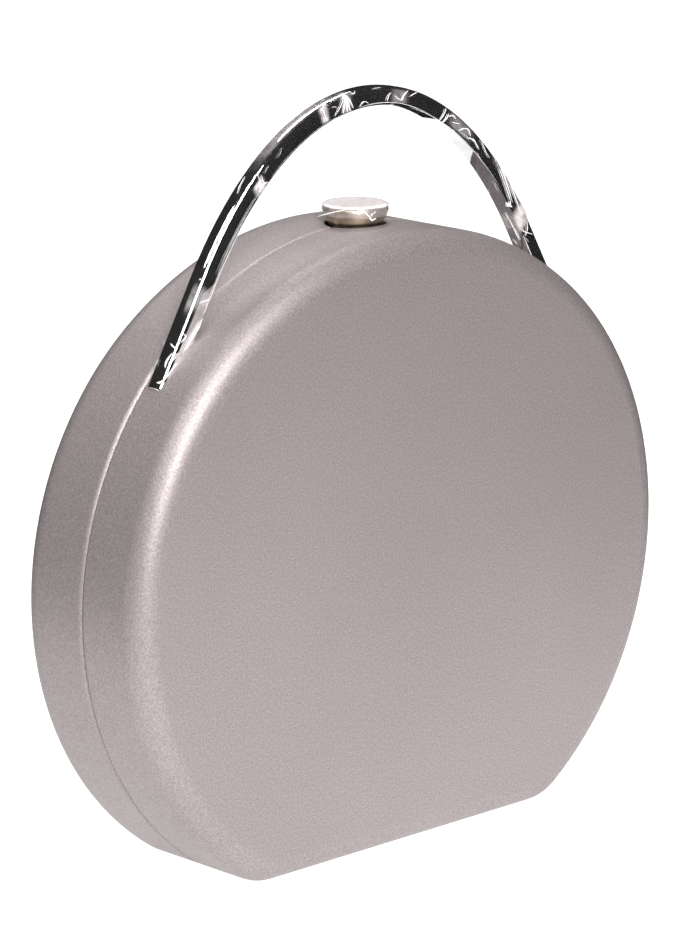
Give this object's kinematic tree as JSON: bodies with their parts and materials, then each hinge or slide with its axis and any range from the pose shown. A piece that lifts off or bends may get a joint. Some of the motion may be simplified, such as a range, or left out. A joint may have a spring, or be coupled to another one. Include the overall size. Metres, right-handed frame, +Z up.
{
  "type": "round hard-shell carrying case",
  "caption": "Round hard-shell carrying case with a flat base, rigid arched metal handle, upright seam, bottom hinge and push-knob lock.",
  "frame": {"origin": "middle of the case's footprint, on the surface it stands on", "axes": "X across the width, -Y out of the front face, +Z up"},
  "size_m": [0.2, 0.0484, 0.2113],
  "materials": {
    "silver_leatherette": "satin",
    "moulded_shell": "matte",
    "lining_fabric": "matte",
    "handle_chrome": "polished",
    "clear_film": "gloss",
    "knob_nickel": "satin",
    "steel": "satin",
    "spring_steel": "satin",
    "brass": "satin"
  },
  "bodies": {
    "front_half": {"front_covering": "silver_leatherette", "front_shell": "moulded_shell", "front_lining": "lining_fabric", "handle": "handle_chrome", "handle_film": "clear_film", "handle_backing_plates": "steel", "handle_screws": "steel", "lock_bracket": "steel", "lock_bracket_screws": "steel", "stem_bush": "brass", "catch_spring": "spring_steel", "catch_rivet": "steel", "hinge_front_leaf": "steel", "hinge_pin": "steel", "hinge_front_rivets": "steel", "return_spring": "spring_steel"},
    "back_half": {"back_covering": "silver_leatherette", "back_shell": "moulded_shell", "back_lining": "lining_fabric", "strike_plate": "steel", "strike_screws": "steel", "hinge_back_leaf": "steel", "hinge_back_rivets": "steel"},
    "knob": {"push_knob": "knob_nickel", "knob_film": "clear_film", "lock_stem": "steel", "retaining_clip": "spring_steel"}
  },
  "joints": [
    {"name": "bottom_hinge", "type": "hinge", "parent": "front_half", "child": "back_half", "pos_m": [0, -0.0009, 0.0025], "axis": [-1, 0, 0], "range_deg": [0, 100], "deforming": ["catch_spring"]},
    {"name": "knob_push", "type": "slide", "parent": "front_half", "child": "knob", "axis": [0, 0, -1], "range_m": [0, 0.0012], "stiffness_N_per_m": 600, "springref_m": -0.003, "deforming": ["return_spring"]}
  ]
}
